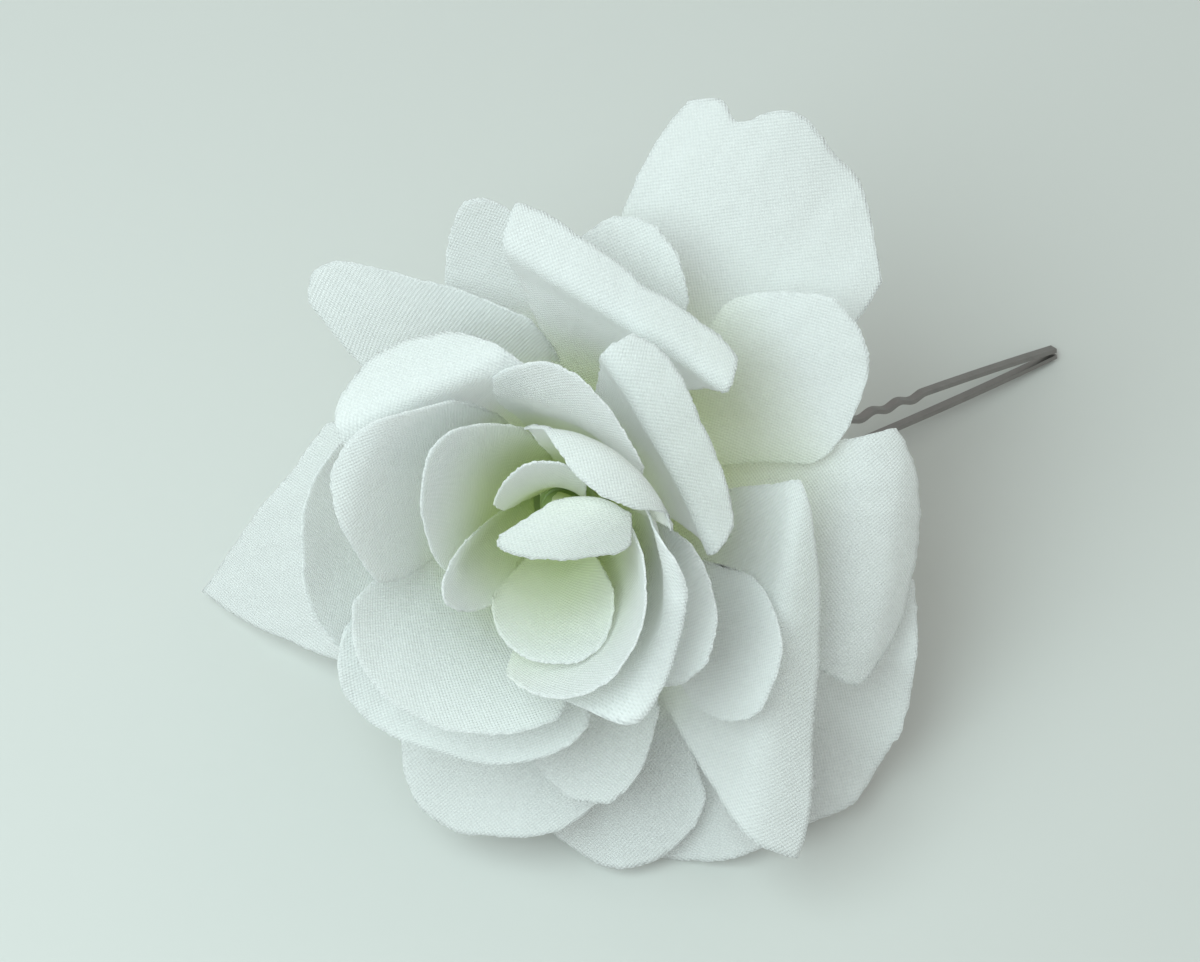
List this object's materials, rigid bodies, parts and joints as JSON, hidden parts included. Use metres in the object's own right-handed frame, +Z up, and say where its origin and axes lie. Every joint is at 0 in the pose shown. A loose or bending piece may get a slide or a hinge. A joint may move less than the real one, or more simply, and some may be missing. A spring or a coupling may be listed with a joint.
{
  "type": "flower hair clip",
  "caption": "Large white cloth rose with separate curled petals round a moulded core, glued to a sprung two-legged hair pin with one crimped leg.",
  "frame": {"origin": "middle of the footprint on the table, with the clip lying as it is put down", "axes": "+Z up from the table, +X along the length towards the pin's tips, +Y to the back, away from where the flower faces"},
  "size_m": [0.1134, 0.0795, 0.0707],
  "materials": {
    "petal_cloth": "stiffened woven satin, white with a pale green stain towards the root",
    "inner_petal_cloth": "stiffened woven satin, white with a stronger green stain towards the root",
    "moulded_core": "moulded pale green polythene",
    "set_glue": "set hot-melt glue",
    "pin_wire": "dark bronzed spring steel"
  },
  "bodies": {
    "flower": {"back_petal_a": "petal_cloth", "back_petal_b": "petal_cloth", "back_petal_c": "petal_cloth", "back_petal_d": "petal_cloth", "back_petal_e": "petal_cloth", "back_petal_f": "petal_cloth", "back_petal_g": "petal_cloth", "bud_petal_a": "inner_petal_cloth", "bud_petal_b": "inner_petal_cloth", "bud_petal_c": "inner_petal_cloth", "bud_petal_d": "inner_petal_cloth", "bud_petal_e": "inner_petal_cloth", "bud_petal_f": "inner_petal_cloth", "bud_petal_g": "inner_petal_cloth", "calyx_cup": "moulded_core", "core_peg": "moulded_core", "cup_petal_a": "inner_petal_cloth", "cup_petal_b": "inner_petal_cloth", "cup_petal_c": "inner_petal_cloth", "cup_petal_d": "inner_petal_cloth", "cup_petal_e": "inner_petal_cloth", "cup_petal_f": "inner_petal_cloth", "cup_petal_g": "inner_petal_cloth", "glue_pad": "set_glue", "middle_petal_a": "petal_cloth", "middle_petal_b": "petal_cloth", "outer_petal_a": "petal_cloth", "outer_petal_b": "petal_cloth", "outer_petal_c": "petal_cloth", "outer_petal_d": "petal_cloth", "outer_petal_e": "petal_cloth", "outer_petal_f": "petal_cloth", "outer_petal_g": "petal_cloth", "outer_petal_h": "petal_cloth", "pin_crimped_leg": "pin_wire", "spacer_lower": "moulded_core", "spacer_middle": "moulded_core", "spacer_upper": "moulded_core"},
    "free_leg": {"pin_straight_leg": "pin_wire"}
  },
  "joints": [
    {"name": "pin_opening", "type": "hinge", "parent": "flower", "child": "free_leg", "pos_m": [0.00149, 0.00636, 0.01198], "axis": [-0.5129, 0.705, -0.4899], "range_deg": [0, 10], "stiffness_Nm_per_rad": 0.05}
  ]
}
